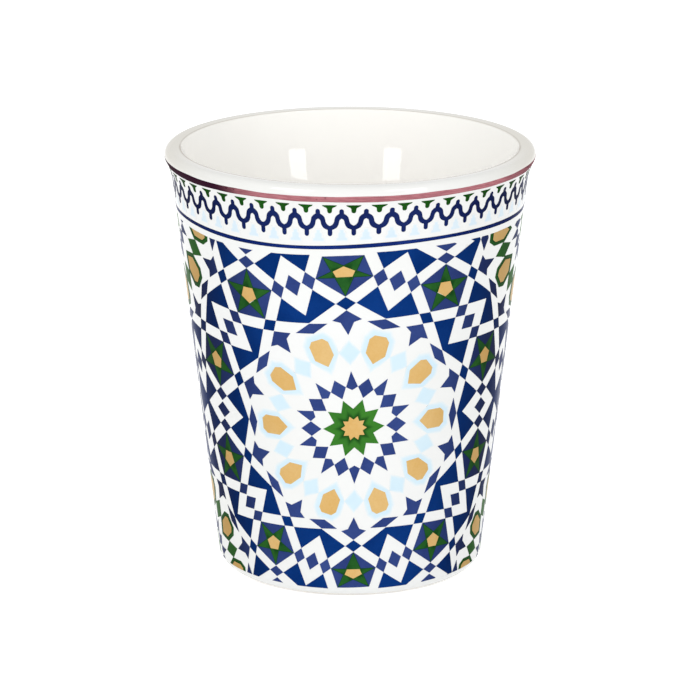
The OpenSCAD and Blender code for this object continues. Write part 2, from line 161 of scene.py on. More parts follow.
def outside_r(z):
    """Radius of the glazed outside at a height."""
    if z < BASE_CORNER_R * (1 - sin(WALL_LEAN)):
        return base_x + math.sqrt(BASE_CORNER_R ** 2 - (BASE_CORNER_R - z) ** 2)
    if z < flare_start_z:
        return base_r + z * tan(WALL_LEAN)
    if z < flare_end_z:
        return flare_x - math.sqrt(FLARE_R ** 2 - (z - flare_z) ** 2)
    return lip_x + math.sqrt(LIP_R ** 2 - (z - lip_z) ** 2)


def bow(x, z, r, start, end, steps, hollow=False):
    """Points of an arc in the section, each with the glaze's outward normal."""
    side = -1 if hollow else 1
    angles = [start + (end - start) * i / steps for i in range(steps + 1)]
    return [((x + side * r * cos(a), z + side * r * sin(a)), (cos(a), sin(a))) for a in angles]


foot_edge = bow(base_x, BASE_CORNER_R, BASE_CORNER_R, -90, bare_angle, 6)
glazed = (
    bow(base_x, BASE_CORNER_R, BASE_CORNER_R, bare_angle, -WALL_LEAN, 8)
    + bow(flare_x, flare_z, FLARE_R, -WALL_LEAN, -FLARE_LEAN, 14, hollow=True)
    + bow(lip_x, lip_z, LIP_R, -FLARE_LEAN, 90, 18)[1:]
    + bow(lip_x, HEIGHT - LIP_CROWN_R, LIP_CROWN_R, 90, 90 + LIP_CROWN_SPAN, 20)[1:-1]
    + bow(edge_x, edge_z, LIP_EDGE_R, 90 + LIP_CROWN_SPAN, 180 - MOUTH_LEAN, 8)
    + bow(bend_x, bend_z, MOUTH_R, 180 - MOUTH_LEAN, 180 - INSIDE_LEAN, 8)
    + bow(corner_x, corner_z, FLOOR_CORNER_R, 180 - INSIDE_LEAN, 90, 14, hollow=True)
)


def sunk(section, depth):
    """The section's points, moved into the clay by a depth."""
    return [(p[0] - depth * n[0], p[1] - depth * n[1]) for p, n in section]


# Values on the surface that the finishes read
def paint(piece, name, amount):
    """Gives each corner a value that its finish reads."""
    values = piece.data.attributes.new(name, "FLOAT", "POINT")
    for point, value in zip(piece.data.vertices, values.data):
        value.value = amount(point.co / MM)


def clamped(value):
    return min(1.0, max(0.0, value))


def ease(value, low, high):
    way = clamped((value - low) / (high - low))
    return way * way * (3 - 2 * way)


def flank_shade_mask(p):
    """Painted shade: how much darker the colours are painted on the flanks, between the front or back
    and the sides.
    """
    side = p.x ** 2 / (p.x ** 2 + p.y ** 2)
    eased_at_sides = 1 - 0.65 * ease(side, 0.8, 1.0)
    return ease(side, 0.05, 0.93) * eased_at_sides


def inside_light_mask(p):
    """0 outside the cup and 1 inside it, with the change over the top of the lip: where painted light
    makes the white brighter.
    """
    r = math.hypot(p.x, p.y)
    if p.z < lip_z:
        return 1.0 if FLOOR_T - 1 < p.z and r < outside_r(p.z) - LIP_R else 0.0
    return clamped((lip_x - r) / (lip_x - edge_x))


def lip_shade_mask(p):
    """1 on the lip above the lustre line: painted shade, strongest at the sides, weaker across the back
    and weakest at the front.
    """
    r = math.hypot(p.x, p.y)
    if p.z < lip_z - LIP_R or (p.z < lip_z and r < outside_r(p.z) - LIP_R):
        return 0.0
    side = abs(p.x) / r
    # Painted shade: strongest at the sides, weaker across the back and weakest at the front
    front = 0.15 + 0.85 * side ** 6
    back = 0.4 + 0.6 * side ** 2
    thin = front if p.y < 0 else back
    if r < edge_x:
        return thin * max(0.0, (p.z - edge_z) / LIP_EDGE_R - 0.25)
    run_in = 0.4
    return thin * clamped((p.z - lip_z + run_in) / run_in)


def on_lip_edge(p):
    """1 along the lip's inner edge, where a fine dark line is drawn, wider and stronger at the front.
    """
    if p.z < edge_z:
        return 0.0
    r = math.hypot(p.x, p.y)
    away = r - crown_end_x
    outer_width = 0.14 + 0.4 * max(0.0, -p.y / r)
    inner_width = 0.09
    width = outer_width if away > 0 else inner_width
    strength = 1.0 if p.y < 0 else 0.55
    return math.exp(-(away / width) ** 2) * strength


def lustre_thick_and_reflection(p):
    """Where the lustre lies thick, and left of the front a painted dark reflection, by its turn from
    the front.
    """
    around = math.atan2(p.x, -p.y)
    return max(
        strength * math.exp(-(math.remainder(around - math.radians(at), 2 * math.pi) / spread) ** 2)
        for at, spread, strength in LUSTRE_THICK_AND_REFLECTION)


# Modelling by hand: shared steps
def deselect():
    if bpy.context.object and bpy.context.object.mode != "OBJECT":
        bpy.ops.object.mode_set(mode="OBJECT")
    bpy.ops.object.select_all(action="DESELECT")


def pick(piece):
    deselect()
    piece.select_set(True)
    bpy.context.view_layer.objects.active = piece


def select_all():
    bpy.ops.mesh.select_all(action="SELECT")


def trace(section, closed):
    """Extrudes one point along the section, and joins the ends of a closed one."""
    bpy.ops.mesh.primitive_plane_add(size=MM)
    piece = bpy.context.object
    bpy.ops.object.mode_set(mode="EDIT")
    select_all()
    bpy.ops.mesh.merge(type="CENTER")
    x, z = section[0]
    bpy.ops.transform.translate(value=(x * MM, 0, z * MM))
    for (x0, z0), (x1, z1) in zip(section, section[1:]):
        step = ((x1 - x0) * MM, 0, (z1 - z0) * MM)
        bpy.ops.mesh.extrude_region_move(TRANSFORM_OT_translate={"value": step})
    if closed:
        mesh = bmesh.from_edit_mesh(piece.data)
        ends = [v for v in mesh.verts if len(v.link_edges) == 1]
        for v in mesh.verts:
            v.select_set(v in ends)
        mesh.select_flush_mode()
        bpy.ops.mesh.edge_face_add()
    return piece


def spin_piece(name, section, closed=False):
    """Spins a section round the cup's axis into a closed, outward-facing shell."""
    deselect()
    piece = trace(section, closed)
    piece.name = name
    piece.data.name = name
    select_all()
    bpy.ops.mesh.spin(steps=ROUND_STEPS, angle=2 * math.pi, center=(0, 0, 0), axis=(0, 0, 1))
    select_all()
    bpy.ops.mesh.remove_doubles(threshold=2e-6)
    select_all()
    bpy.ops.mesh.normals_make_consistent(inside=False)
    bpy.ops.object.mode_set(mode="OBJECT")
    return piece


def smooth(piece, angle=32):
    pick(piece)
    bpy.ops.object.shade_smooth_by_angle(angle=math.radians(angle))


def joined(pieces, name):
    deselect()
    for piece in pieces:
        piece.select_set(True)
    bpy.context.view_layer.objects.active = pieces[0]
    bpy.ops.object.join()
    pieces[0].name = name
    return pieces[0]


# Clay and glaze
def clay_body():
    """The clay, with a slightly rounded foot ring and a hollow under the floor."""
    hollow_r = FOOT_INSIDE_R - FOOT_HOLLOW
    hollow_z = FOOT_HOLLOW + GLAZE_T
    corner_w, corner_h = 0.3, 0.2
    inner_foot = [
        (0, hollow_z),
        (hollow_r - corner_w, hollow_z),
        (hollow_r, hollow_z - corner_h),
        (FOOT_INSIDE_R - FOOT_ROUND, FOOT_ROUND),
        (FOOT_INSIDE_R - 0.3 * FOOT_ROUND, 0.3 * FOOT_ROUND),
        (FOOT_INSIDE_R + FOOT_ROUND, 0),
    ]
    section = inner_foot + sunk(foot_edge, 0) + sunk(glazed, GLAZE_T) + [(0, FLOOR_T - GLAZE_T)]
    return spin_piece("cup_clay", section)


def cup_glaze():
    """The glaze over the wall, lip and inside, and the disc of it under the floor."""
    outside = sunk(glazed, 0) + [(0, FLOOR_T), (0, FLOOR_T - GLAZE_T)]
    shell = spin_piece("cup_shell", outside + sunk(glazed, GLAZE_T)[::-1], closed=True)
    disc_r = FOOT_INSIDE_R - FOOT_HOLLOW - UNDER_GAP
    edge_w, edge_h = 0.25, 0.07
    under = [
        (0, FOOT_HOLLOW),
        (disc_r - edge_w, FOOT_HOLLOW),
        (disc_r - edge_h, FOOT_HOLLOW + edge_h),
        (disc_r, FOOT_HOLLOW + GLAZE_T),
        (0, FOOT_HOLLOW + GLAZE_T),
    ]
    return joined([shell, spin_piece("under_glaze", under)], "cup_glaze")


def waves(table, turn):
    return sum(size * math.sin(count * turn + start) for size, count, start in table)


def lustre_band():
    """A brushed band: a shallow bead with a hand's unevenness in place and width."""
    middle = HEIGHT - LUSTRE_DROP
    bead = [(middle + LUSTRE_H * up, thickness) for up, thickness in LUSTRE_BEAD]
    front = [(outside_r(z) + thickness, z) for z, thickness in bead]
    back = [(outside_r(z) - LUSTRE_SINK, z) for z, _ in bead]
    band = spin_piece("lustre_band", front + back[::-1], closed=True)
    for v in band.data.vertices:
        turn = math.atan2(v.co.x, -v.co.y)
        z = v.co.z / MM
        sway = waves(LUSTRE_SWAY, turn) + stray(LUSTRE_STRAY_UP, math.degrees(turn))
        swell = 1 + waves(LUSTRE_SWELL, turn) + LUSTRE_LOAD_SWELL * lustre_thick_and_reflection(v.co)
        new_z = middle + sway + (z - middle) * swell
        r = math.hypot(v.co.x, v.co.y) / MM
        grown = (r + outside_r(new_z) - outside_r(z)) / r
        v.co = (v.co.x * grown, v.co.y * grown, new_z * MM)
    return band


# Flat cells of the fired colours, drawn as on a transfer sheet: x round the cup, y up it
HOLE_RIM = 0.03


def inset_ring(piece, ring, thickness):
    """Insets the selected cell. The inner corners come back in the order of the outer ones."""
    bmesh.update_edit_mesh(piece.data)
    bpy.ops.mesh.inset(thickness=thickness * MM, use_even_offset=True)
    mesh = bmesh.from_edit_mesh(piece.data)
    inner = next(f for f in mesh.faces if f.select)
    corners = set(inner.verts)
    return inner, [
        next(e.other_vert(v) for e in v.link_edges if e.other_vert(v) in corners) for v in ring]


def add_cell(piece, outline, hole=None, rim=0.0, line=0.0, tone=0.5, edge_fade=None):
    """One cell, from a disc whose corners move to the outline. An inset makes its line, rim or hole."""
    count = len(outline)
    bpy.ops.mesh.primitive_circle_add(vertices=count, radius=MM, fill_type="NGON", calc_uvs=False)
    mesh = bmesh.from_edit_mesh(piece.data)
    face = next(f for f in mesh.faces if f.select)
    ring = list(face.verts)
    for v, p in zip(ring, outline):
        v.co = (p[0] * MM, p[1] * MM, 0)
    face.normal_update()
    if face.normal.z < 0:
        face.normal_flip()
    fades = dict(zip(ring, edge_fade or [0.0] * count))
    lined = set()
    if line:
        face, ring = inset_ring(piece, ring, line)
        lined = {f for v in ring for f in v.link_faces} - {face}
        fades.update({v: 0.0 for v in ring})
    if hole or rim:
        face, ring = inset_ring(piece, ring, rim or HOLE_RIM)
        fades.update({v: 1.0 for v in ring})
    if hole:
        for v, p in zip(ring, hole):
            v.co = (p[0] * MM, p[1] * MM, 0)
        mesh.faces.remove(face)
    fade = mesh.verts.layers.float["fade"]
    tones = mesh.verts.layers.float["tone"]
    for v, value in fades.items():
        v[fade] = value
        v[tones] = tone
    drawn = mesh.loops.layers.float["line"]
    for f in lined:
        for loop in f.loops:
            loop[drawn] = 1.0


def flat_sheet(name, cells):
    """All cells of a colour, lying flat in one mesh."""
    deselect()
    bpy.ops.mesh.primitive_plane_add(size=MM, calc_uvs=False)
    piece = bpy.context.object
    piece.name = name
    piece.data.name = name
    bpy.ops.object.mode_set(mode="EDIT")
    select_all()
    bpy.ops.mesh.delete(type="VERT")
    mesh = bmesh.from_edit_mesh(piece.data)
    mesh.loops.layers.float.new("line")
    mesh.verts.layers.float.new("fade")
    mesh.verts.layers.float.new("tone")
    bmesh.update_edit_mesh(piece.data)
    for cell in cells:
        add_cell(piece, **cell)
    return piece


def cut_at(places, normal, **clear):
    """Cuts the sheet along straight lines, so that it can follow the wall."""
    for place in places:
        select_all()
        at = tuple(place * MM * n for n in normal)
        bpy.ops.mesh.bisect(plane_co=at, plane_no=normal, threshold=1e-7, **clear)


def apply(piece, kind, **values):
    pick(piece)
    modifier = piece.modifiers.new(kind.title(), kind)
    for key, value in values.items():
        setattr(modifier, key, value)
    bpy.ops.object.modifier_apply(modifier=modifier.name)


def lay_round(piece, place, film=FILM_T):
    """Lays a flat sheet round the cup, closes its seam and gives it the film's thickness."""
    bpy.ops.object.mode_set(mode="OBJECT")
    for v in piece.data.vertices:
        turn, z = place(v.co.x / MM, v.co.y / MM)
        r = outside_r(z) - FILM_SINK
        v.co = Vector((r * sin(turn), -r * cos(turn), z)) * MM
    pick(piece)
    bpy.ops.object.mode_set(mode="EDIT")
    select_all()
    bpy.ops.mesh.remove_doubles(threshold=3e-6)
    bpy.ops.object.mode_set(mode="OBJECT")
    apply(piece, "SOLIDIFY", thickness=film * MM, offset=1, use_quality_normals=True)
    smooth(piece)
    # Painted shade: how far the fired colours are darkened on the flanks
    paint(piece, "flank_shade", flank_shade_mask)
    return piece


# Border
step_turn = 360 / ZIGZAGS
step_w = 2 * math.pi * outside_r(HEIGHT - ZIGZAG_DROP) / ZIGZAGS
half_w = RIBBON_W / 2
# The ribbon leaves the peak's stem and joins the valley's at these drops below the peak's top
RIBBON_LEAVES, RIBBON_JOINS = 0.74, 3.36
# Its edges from a peak to the next valley: share of the way, drop below the peak's top
RIBBON_UPPER = [
    (0.41, 1.02), (0.55, 1.32), (0.61, 1.72), (0.64, 2.06), (0.71, 2.34), (0.82, 2.57), (1.0, 2.74)]
RIBBON_UNDER = [
    (0.65, 3.24), (0.46, 3.05), (0.33, 2.74), (0.25, 2.38), (0.22, 2.03), (0.17, 1.76), (0.0, 1.55)]
# The right half of a tree, from its base up: shares of its width and height
TREE_STEPS = [(0.5, 0.0), (0.5, 0.3), (0.36, 0.4), (0.34, 0.7), (0.24, 0.76), (0.22, 1.0)]
DROP_SHOULDER = 0.1
TREE_RIM = 0.36
# The border creeps by this turn, from this share of the way to the right side, over this share
CREEP_TURN, CREEP_FROM, CREEP_OVER = 1.3, 0.16, 0.05
# Cuts across a motif and up the flare
MOTIF_COLUMNS = 6
FLARE_ROW, FLARE_ROWS = 0.45, 8
# The rule's sheet is one degree to a millimetre and two millimetres tall
RULE_RIM = 0.45
RULE_SWELL, RULE_WAVES, RULE_WAVE_START = 0.08, 7, 40


def round_end(x, z, r, start, end, steps=5):
    angles = [start + (end - start) * i / steps for i in range(steps + 1)]
    return [(x + r * cos(a), z + r * sin(a)) for a in angles]


def flipped(points):
    return [(-x, z) for x, z in reversed(points)]


def ribbon_outline():
    """One peak of the ribbon, from the middle of one valley to the next."""
    top = HEIGHT - RIBBON_TOP
    reach = step_w / 2
    upper = [(half_w, top - RIBBON_LEAVES)]
    upper += [(x * reach, top - down) for x, down in RIBBON_UPPER]
    under = [(reach - half_w, top - RIBBON_JOINS)]
    under += [(x * reach, top - down) for x, down in RIBBON_UNDER]
    stem = round_end(reach, top - RIBBON_H + half_w, half_w, 270, 180)
    right = round_end(0, top - half_w, half_w, 90, 0) + upper + stem + under
    return right + [(-x, z) for x, z in right[-2:0:-1]]


def drop_outline():
    top = HEIGHT - DROP_TOP
    right = [
        (DROP_W / 2, top),
        (DROP_W / 2 - DROP_SHOULDER, top - 0.12 * DROP_H),
        (half_w * 1.5, top - 0.32 * DROP_H),
        (half_w * 1.1, top - 0.44 * DROP_H),
    ] + round_end(0, top - DROP_H + half_w, half_w, 0, -90)
    return right + flipped(right[:-1])


def tree_outline():
    base = HEIGHT - TREE_DROP
    right = [(TREE_W * x, base + TREE_H * z) for x, z in TREE_STEPS]
    return right + flipped(right)


def border_sheet(name, outline, shift=0.0, rim=0.0):
    """One motif of the border, repeated round the cup. shift is a share of the step between two."""
    piece = flat_sheet(name, [{"outline": outline, "rim": rim}])
    cut_at([step_w * k / MOTIF_COLUMNS for k in range(-2, 3)], (1, 0, 0))
    cut_at([flare_start_z + FLARE_ROW * k for k in range(FLARE_ROWS)], (0, 1, 0))
    bpy.ops.object.mode_set(mode="OBJECT")
    apply(piece, "ARRAY", count=ZIGZAGS, use_relative_offset=False, use_constant_offset=True,
          constant_offset_displace=(step_w * MM, 0, 0))

    def place(x, z):
        turn = BORDER_TURN + shift * step_turn + x / step_w * step_turn
        return turn + border_creep(turn), z + border_sway(turn, z)

    return lay_round(piece, place)


def border_sway(turn, z):
    """How the border strays from level: with the lustre line above, with the rule below."""
    down = (HEIGHT - LUSTRE_DROP - z) / (RULE_DROP - LUSTRE_DROP)
    return (1 - down) * stray(LUSTRE_STRAY_UP, turn) + down * stray(RULE_STRAY_UP, turn)


def border_creep(turn):
    """How far the border's motifs creep round the cup, right of the front."""
    front = 0.5 + 0.5 * cos(turn)
    return CREEP_TURN * front / (1 + math.exp((CREEP_FROM - sin(turn)) / CREEP_OVER))


def rule_line():
    """The rule, brushed a little unevenly."""
    piece = flat_sheet("border_line", [{
        "outline": [(-180, -1), (180, -1), (180, 1), (-180, 1)], "rim": RULE_RIM}])
    cut_at([-180 + COLUMN_TURN * k for k in range(1, round(360 / COLUMN_TURN))], (1, 0, 0))
    middle = HEIGHT - RULE_DROP

    def place(x, y):
        width = RULE_H / 2 * (1 + RULE_SWELL * sin(RULE_WAVES * x + RULE_WAVE_START))
        return x, middle + y * width + stray(RULE_STRAY_UP, x)

    return lay_round(piece, place)


# Star field: ten-sided rosette tiles that share edges, with bow-tie tiles between them
field_top = HEIGHT - FIELD_DROP
field_mid = (field_top + FIELD_BOTTOM) / 2
field_half = (field_top - FIELD_BOTTOM) / 2
tile = field_half / (2 * sin(36) - STRAP_SHARE / 2)
row_x = 2 * tile * cos(36)
row_y = 2 * tile * sin(36)
strap = STRAP_SHARE * tile
place_near = STRAP_PLACE * tile
place_far = row_y - place_near
near_in, near_out = place_near - strap / 2, place_near + strap / 2
far_in, far_out = place_far - strap / 2, place_far + strap / 2
tile_corner = tile / cos(18)
cell_r = (tile_corner * cos(36) - place_near - strap / 2) / cos(36)
turn_per_x = 90 / row_x
# Spare height that is cut off along the field's edges
EDGE_SPARE = 1.8
# Cuts up the field, one repeat with its sides, set off the middle to miss the cells' corners
FIELD_COLUMNS = range(-32, 74)
COLUMN_SHIFT = 0.37
# The edges are trimmed over this many columns at a time
TRIM_COLUMNS = 6
TRIM_STEPS = range(-6, 25)
# Lengths of the rosette's cells, as shares of the tile
HEART_REACH, HEART_NOTCH = 0.084, 0.7
LEAF_REACH, LEAF_NOTCH = 0.199, 0.66
PETAL_IN, PETAL_SHOULDER, PETAL_OUT = 0.441, 0.596, 0.626
PETAL_HALF = 0.062
PETAL_TIP_HALF = 0.58 * PETAL_HALF
GEM_MID, GEM_LONG_HALF, GEM_HALF = 0.508, 0.098, 0.066
HALO_W = 0.031
# The dark line round the green stars, the soft edge of the pale diamonds, and how blue they are
# at the corners where they meet the pale halos
STAR_LINE = 0.1
GEM_RIM = 0.75
SIDE_FADE = 0.4


def polar(r, a):
    return (r * cos(a), r * sin(a))


def meet(a, d, b, e):
    """Where two straight lines meet, each given by its normal's angle and its distance."""
    k = sin(b - a)
    return ((d * sin(b) - e * sin(a)) / k, (e * cos(a) - d * cos(b)) / k)


def shrunk(points, left):
    """An outline drawn in towards its middle, to the part that is left of it."""
    x = sum(p[0] for p in points) / len(points)
    y = sum(p[1] for p in points) / len(points)
    return [(x + (p[0] - x) * left, y + (p[1] - y) * left) for p in points]


def turned(points, a, at=(0, 0)):
    return [(at[0] + x * cos(a) - y * sin(a), at[1] + x * sin(a) + y * cos(a)) for x, y in points]


def mirrored(points):
    """A whole outline from its upper half."""
    return points + [(x, -y) for x, y in reversed(points) if abs(y) > 0.001]


def upended(points):
    return [(x, -y) for x, y in points]


def swapped(points):
    return [(-x, y) for x, y in points]


def share(*pairs):
    return [(x * tile, y * tile) for x, y in pairs]


def star(reach, notch):
    return [polar(reach * tile * (notch if i % 2 else 1), 18 * i) for i in range(20)]


def diamond(start, middle, end, half):
    return share((start, 0), (middle, half), (end, 0), (middle, -half))


dart = mirrored([
    (near_out / cos(18), 0), meet(-18, near_out, 54, near_in),
    meet(54, near_in, -54, far_in), (far_in / cos(54), 0)])
key = shrunk([
    (far_out / cos(54), 0), meet(54, near_in, -54, far_out),
    (near_in / cos(54), 0), meet(54, far_out, -54, near_in)], 0.86)
key_knot = shrunk([
    meet(54, near_in, -54, far_in), meet(54, near_out, -54, far_in),
    meet(54, near_out, -54, far_out), meet(54, near_in, -54, far_out)], 0.98)
sliver = shrunk([
    (near_in / cos(18), 0), meet(18, near_in, -18, near_out),
    (near_out / cos(18), 0), meet(18, near_out, -18, near_in)], 0.9)
star_knot = shrunk([
    polar(near_in / cos(36), 18), meet(54, near_in, -18, near_out),
    polar(near_out / cos(36), 18), meet(54, near_out, -18, near_in)], 0.95)
arrow_half = [(near_in / cos(36), 0)] + share((0.722, 0.088), (0.707, 0.040), (0.624, 0))
arrow = turned(mirrored(arrow_half), 18)
heart = star(HEART_REACH, HEART_NOTCH)
leaf = star(LEAF_REACH, LEAF_NOTCH)
lozenge = shrunk(diamond(0.210, 0.278, 0.346, 0.051), 0.985)
kite = turned(shrunk(diamond(0.258, 0.280, 0.386, 0.0375), 0.985), 18)
petal = mirrored(share(
    (PETAL_IN, 0), (PETAL_IN + PETAL_HALF, PETAL_HALF),
    (PETAL_SHOULDER, PETAL_HALF), (PETAL_OUT, PETAL_TIP_HALF)))
halo = mirrored(share(
    (PETAL_IN - 1.4 * HALO_W, 0),
    (PETAL_IN + PETAL_HALF - 0.4 * HALO_W, PETAL_HALF + HALO_W),
    (PETAL_SHOULDER + 0.4 * HALO_W, PETAL_HALF + HALO_W),
    (PETAL_OUT + HALO_W, PETAL_TIP_HALF + 0.5 * HALO_W)))
gem = turned(diamond(GEM_MID - GEM_LONG_HALF, GEM_MID, GEM_MID + GEM_LONG_HALF, GEM_HALF), 18)
pent_cell = [
    (tile_corner + cell_r * cos(180 + 72 * i), cell_r * sin(180 + 72 * i)) for i in range(5)]
waist_x = row_y - strap / 2
waist_y = meet(-72, far_in, 0, waist_x)[1]
waist_cell = [pent_cell[0], pent_cell[1], (waist_x, waist_y), (waist_x, -waist_y), pent_cell[4]]


def crossing(p, i):
    """Where two of a five-sided cell's diagonals cross, between its corners i and i + 1."""
    a, c = Vector(p[i]), Vector(p[(i + 1) % 5])
    u, v = Vector(p[(i + 2) % 5]) - a, Vector(p[(i + 4) % 5]) - c
    w = c - a
    return tuple(a + u * ((w.x * v.y - w.y * v.x) / (u.x * v.y - u.y * v.x)))


def star_of(p):
    return [q for i in range(5) for q in (p[i], crossing(p, i))]


def eye_of(p):
    return shrunk([crossing(p, i) for i in range(5)], 0.84)


def eye_ring(p):
    """The eye's outline with as many points as the star round it."""
    eye = eye_of(p)
    return [q for i in range(5) for q in (
        ((eye[i - 1][0] + eye[i][0]) / 2, (eye[i - 1][1] + eye[i][1]) / 2), eye[i])]


def ground_of(p, i):
    return [p[i], p[(i + 1) % 5], crossing(p, i)]


wing_points = [
    meet(18, far_out, 126, near_out), meet(18, near_out, 126, near_out),
    meet(18, near_out, 126, far_out), meet(126, far_out, 54, 2 * tile * cos(18) - near_out)]
wing = mirrored(
    [((far_out - row_y * sin(18)) / cos(18), 0)]
    + [(x, y - row_y) for x, y in wing_points]
    + [(row_x - near_out / cos(54), 0)])

# One repeat of the field: a whole rosette at the front, halves of two others beside it
WHOLE = (0, 0)
CUT = [(row_x, -row_y), (row_x, row_y)]
ROSETTES = [WHOLE] + CUT


def inwards(at, a):
    """Whether a cell at an angle round a rosette lies in the field."""
    return at[1] == 0 or sin(a) * math.copysign(1, at[1]) < 0.02


def own_key(at, i):
    """Whether a key cell is this rosette's own, and not drawn with its neighbour."""
    return at[1] == 0 or (inwards(at, 36 * i) and (i % 5 == 0 or abs(cos(36 * i)) < 0.4))


def uneven(low=0.25, high=0.75):
    """A cell's own tone, as no two are fired alike."""
    return random.uniform(low, high)


def round_rosettes(points, keep):
    """A cell's ten copies round each rosette, those that the field holds."""
    return [
        {"outline": turned(points, 36 * i, at), "tone": uneven()}
        for at in ROSETTES for i in range(10) if keep(at, i)]


def on_keys(at, i):
    return inwards(at, 36 * i)


def on_stars(at, i):
    return inwards(at, 36 * i + 18)


# The five-sided cells of the whole rosette, two of them beside a bow-tie's waist, and of the halves
five_cells = [
    turned(waist_cell if i in (2, 7) else pent_cell, 36 * i + 18) for i in range(10)
] + [turned(waist_cell, 270 if at[1] > 0 else 90, at) for at in CUT]

cobalt_cells = (
    round_rosettes(dart, on_keys)
    + round_rosettes(star_knot, on_stars)
    + [{"outline": turned(p, 0, at), "tone": uneven()}
       for at in ((0, row_y), (0, -row_y), (row_x, 0)) for p in (wing, swapped(wing))])
violet_cells = (
    round_rosettes(sliver, on_keys)
    + round_rosettes(lozenge, on_keys)
    + round_rosettes(arrow, on_stars)
    + round_rosettes(kite, on_stars)
    + round_rosettes(key, own_key)
    + round_rosettes(key_knot, own_key)
    + round_rosettes(upended(key_knot), own_key)
    + [{"outline": ground_of(p, i), "tone": uneven(0.1, 0.5)}
       for p in five_cells for i in range(5)])
green_cells = (
    [{"outline": turned(leaf, 0, at), "hole": turned(heart, 0, at), "tone": 1.0} for at in ROSETTES]
    + [{"outline": star_of(p), "hole": eye_ring(p), "line": STAR_LINE, "tone": 0.0}
       for p in five_cells])
for petal_at in CUT:
    for k in range(10):
        if on_keys(petal_at, k):
            green_cells.append({
                "outline": turned(halo, 36 * k, petal_at),
                "hole": turned(petal, 36 * k, petal_at), "tone": 0.1})
        if on_stars(petal_at, k):
            green_cells.append({"outline": turned(gem, 36 * k, petal_at), "tone": 0.4})
ochre_cells = (
    [{"outline": turned(heart, 0, at), "tone": 0.2} for at in ROSETTES]
    + round_rosettes(petal, on_keys)
    + [{"outline": eye_of(p), "tone": uneven()} for p in five_cells])
# The pale halos meet the pale diamonds at the diamonds' side corners
gem_side = turned([(GEM_MID, -GEM_HALF)], 18)[0]
soft_halo = mirrored(share((0.368, 0), gem_side, (0.616, 0.110), (0.680, 0.064)))
sky_cells = []
for k in range(10):
    sky_cells.append({
        "outline": turned(soft_halo, 36 * k), "hole": turned(petal, 36 * k),
        "edge_fade": [0, SIDE_FADE, 0, 0, 0, 0, SIDE_FADE]})
    sky_cells.append({
        "outline": turned(gem, 36 * k), "rim": GEM_RIM, "edge_fade": [0, SIDE_FADE, 0, SIDE_FADE]})


def field_lay(x, y):
    """Where a point of the flat field lies on the wall."""
    turn = FIELD_TURN + x * turn_per_x
    height = y / field_half
    up = stray(FIELD_STRAY_UP, turn, height)
    return turn + stray(FIELD_STRAY_TURN, turn, height), field_mid + y + up


def flat_edge(x, side):
    """The height on the flat sheet that lands on the field's upper or lower edge."""
    turn = FIELD_TURN + x * turn_per_x
    table = RULE_STRAY_UP if side > 0 else FOOT_STRAY_UP
    edge = field_mid + side * field_half + stray(table, turn)
    y = side * field_half
    for _ in range(3):
        y += edge - field_lay(x, y)[1]
    return y


def select_faces(piece, wanted):
    """Selects the faces whose middle and corners are wanted, and says whether there are any."""
    mesh = bmesh.from_edit_mesh(piece.data)
    for f in mesh.faces:
        f.select_set(wanted(f.calc_center_median() / MM, f))
    mesh.select_flush_mode()
    return any(f.select for f in mesh.faces)


def trim_edges(piece, starts, width):
    """Trims the sheet along the field's two edges, a few columns at a time."""
    bpy.ops.mesh.select_mode(type="FACE")
    for x0 in starts:
        for side in (1, -1):
            y0, y1 = flat_edge(x0, side), flat_edge(x0 + width, side)

            def near(middle, face):
                tall = max(side * v.co.y for v in face.verts) / MM
                return x0 < middle.x < x0 + width and tall > field_half - EDGE_SPARE

            def beyond(middle, face):
                over = side * ((middle.y - y0) * width - (middle.x - x0) * (y1 - y0))
                return x0 < middle.x < x0 + width and over > 0

            if select_faces(piece, near):
                slope = Vector((y0 - y1, width, 0)).normalized()
                bpy.ops.mesh.bisect(plane_co=(x0 * MM, y0 * MM, 0), plane_no=slope, threshold=1e-7)
            if select_faces(piece, beyond):
                bpy.ops.mesh.delete(type="FACE")
    bpy.ops.mesh.select_mode(type="VERT")


def field_sheet(name, cells, film=FILM_T):
    """One colour of the field: a repeat is cut, trimmed at the field's edges and copied."""
    piece = flat_sheet(name, cells)
    cut_at([field_half + EDGE_SPARE], (0, 1, 0), clear_outer=True)
    cut_at([-field_half - EDGE_SPARE], (0, 1, 0), clear_inner=True)
    column = COLUMN_TURN / turn_per_x
    cut_at([column * (k + COLUMN_SHIFT) for k in FIELD_COLUMNS], (1, 0, 0))
    select_all()
    bpy.ops.mesh.duplicate_move(TRANSFORM_OT_translate={"value": (2 * row_x * MM, 0, 0)})
    starts = [column * (TRIM_COLUMNS * k + COLUMN_SHIFT) for k in TRIM_STEPS]
    trim_edges(piece, starts, TRIM_COLUMNS * column)
    return lay_round(piece, field_lay, film)


# Shader groups that several finishes share
def new_group(name, inputs, outputs):
    group = bpy.data.node_groups.new(name, "ShaderNodeTree")
    for title, kind, value in inputs:
        socket = group.interface.new_socket(title, in_out="INPUT", socket_type=kind)
        if value is not None:
            socket.default_value = value
    for title, kind in outputs:
        group.interface.new_socket(title, in_out="OUTPUT", socket_type=kind)
    start = group.nodes.new("NodeGroupInput")
    end = group.nodes.new("NodeGroupOutput")
    return group, start.outputs, end.inputs


